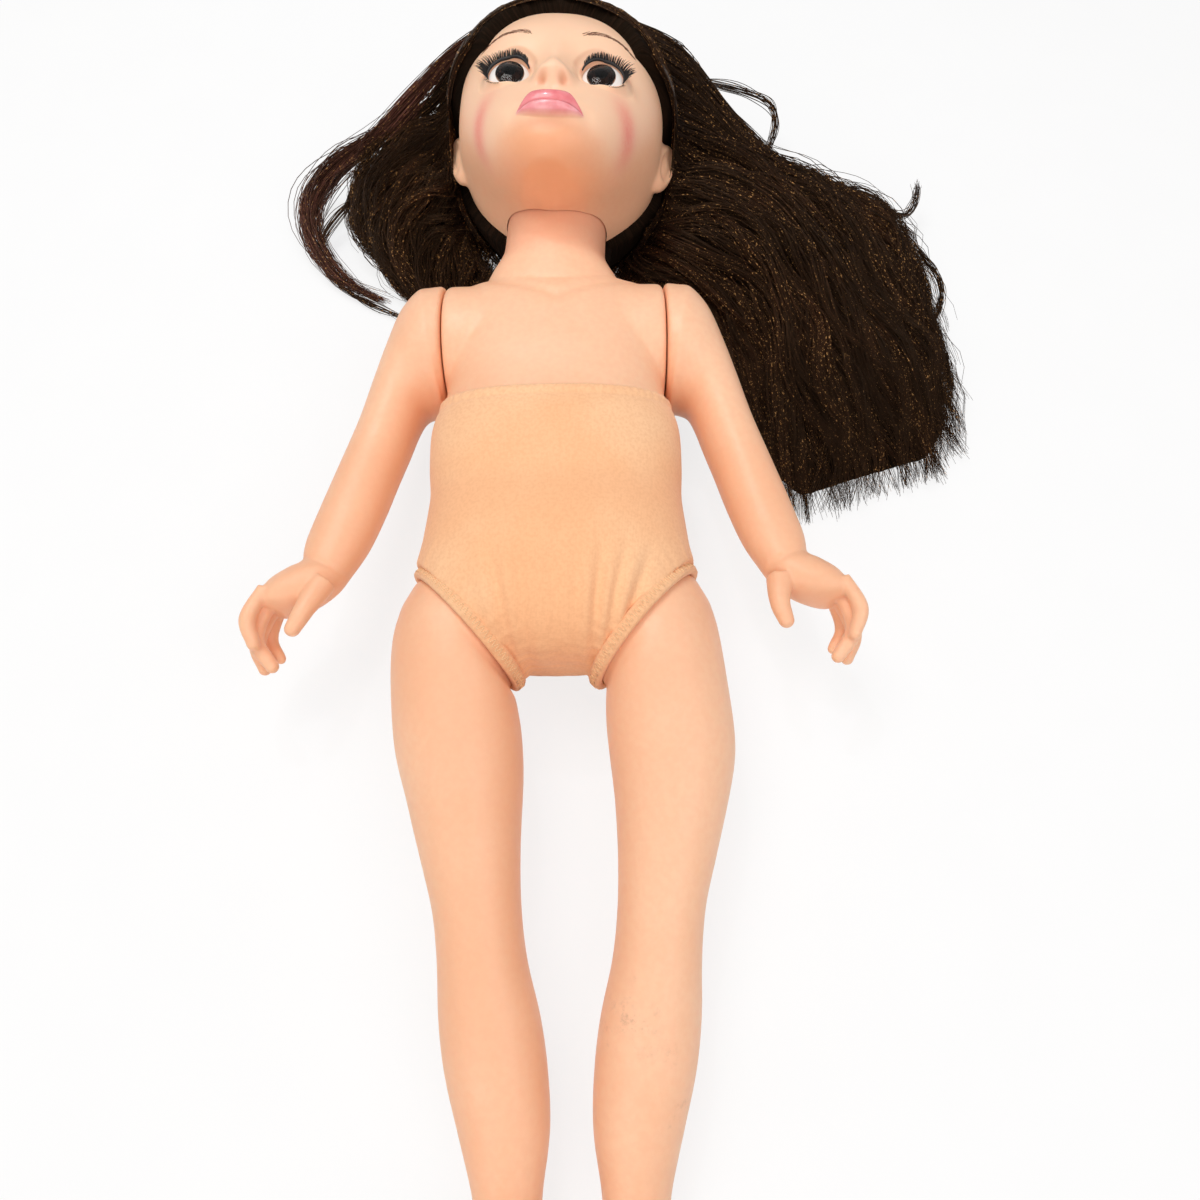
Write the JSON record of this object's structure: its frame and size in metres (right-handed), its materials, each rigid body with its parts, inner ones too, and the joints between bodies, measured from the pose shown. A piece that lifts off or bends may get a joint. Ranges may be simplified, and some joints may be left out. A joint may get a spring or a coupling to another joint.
{
  "type": "girl doll",
  "caption": "Play doll lying on its back: vinyl head with inset eyes, shoulder plate, arms and legs on a stuffed cloth torso, with long spread wavy hair.",
  "frame": {"origin": "on the flat patch of the torso's back, between the hips, on the surface that the doll lies on", "axes": "+Y towards the head, +Z towards the doll's front, +X towards the doll's left hand side"},
  "size_m": [0.2916, 0.463, 0.0988],
  "materials": {
    "vinyl_skin": "satin moulded vinyl",
    "cloth_skin": "close plain-woven cotton",
    "stuffing": "loose polyester fibre",
    "cord": "twisted cord",
    "hard_plastic": "moulded",
    "eye_white": "polished",
    "eye_iris": "polished",
    "eye_lens": "clear domed acrylic",
    "lash": "fine bristles",
    "hair": "wavy synthetic fibre"
  },
  "bodies": {
    "torso": {"shoulder_plate": "vinyl_skin", "body_tie_cord": "cord", "cloth_body_front": "cloth_skin", "cloth_body_back": "cloth_skin", "body_stuffing": "stuffing", "neck_knob": "hard_plastic", "left_shoulder_washer": "hard_plastic", "right_shoulder_washer": "hard_plastic", "left_leg_hem": "cloth_skin", "right_leg_hem": "cloth_skin", "left_leg_tie": "cord", "right_leg_tie": "cord"},
    "head": {"head_shell": "vinyl_skin", "left_eye_shell": "eye_white", "left_iris": "eye_iris", "left_eye_lens": "eye_lens", "left_eye_cap": "hard_plastic", "left_upper_lash": "lash", "right_eye_shell": "eye_white", "right_iris": "eye_iris", "right_eye_lens": "eye_lens", "right_eye_cap": "hard_plastic", "right_upper_lash": "lash", "hair_cap": "hair", "hair_left_upper": "hair", "hair_left_middle": "hair", "hair_left_lower": "hair", "hair_right_upper": "hair", "hair_right_lower": "hair"},
    "left_arm": {"left_arm_shell": "vinyl_skin"},
    "right_arm": {"right_arm_shell": "vinyl_skin"},
    "left_leg": {"left_leg_shell": "vinyl_skin", "left_hip_plug": "hard_plastic"},
    "right_leg": {"right_leg_shell": "vinyl_skin", "right_hip_plug": "hard_plastic"}
  },
  "joints": [
    {"name": "head_turn", "type": "hinge", "parent": "torso", "child": "head", "pos_m": [0.0008, 0.168, 0.038], "axis": [0.0698, 0.9976, 0], "range_deg": [-60, 60], "deforming": ["hair_left_upper", "hair_left_middle", "hair_left_lower", "hair_right_upper", "hair_right_lower"]},
    {"name": "left_arm_swing", "type": "hinge", "parent": "torso", "child": "left_arm", "pos_m": [0.0426, 0.1075, 0.033], "axis": [-1, 0, 0], "range_deg": [-20, 150]},
    {"name": "right_arm_swing", "type": "hinge", "parent": "torso", "child": "right_arm", "pos_m": [-0.0426, 0.1075, 0.033], "axis": [-1, 0, 0], "range_deg": [-20, 150]},
    {"name": "left_leg_swing", "type": "hinge", "parent": "torso", "child": "left_leg", "pos_m": [0.0326, -0.0118, 0.03], "axis": [-0.7385, 0.6743, 0], "range_deg": [-15, 90]},
    {"name": "right_leg_swing", "type": "hinge", "parent": "torso", "child": "right_leg", "pos_m": [-0.0326, -0.0118, 0.03], "axis": [-0.7385, -0.6743, 0], "range_deg": [-15, 90]}
  ]
}
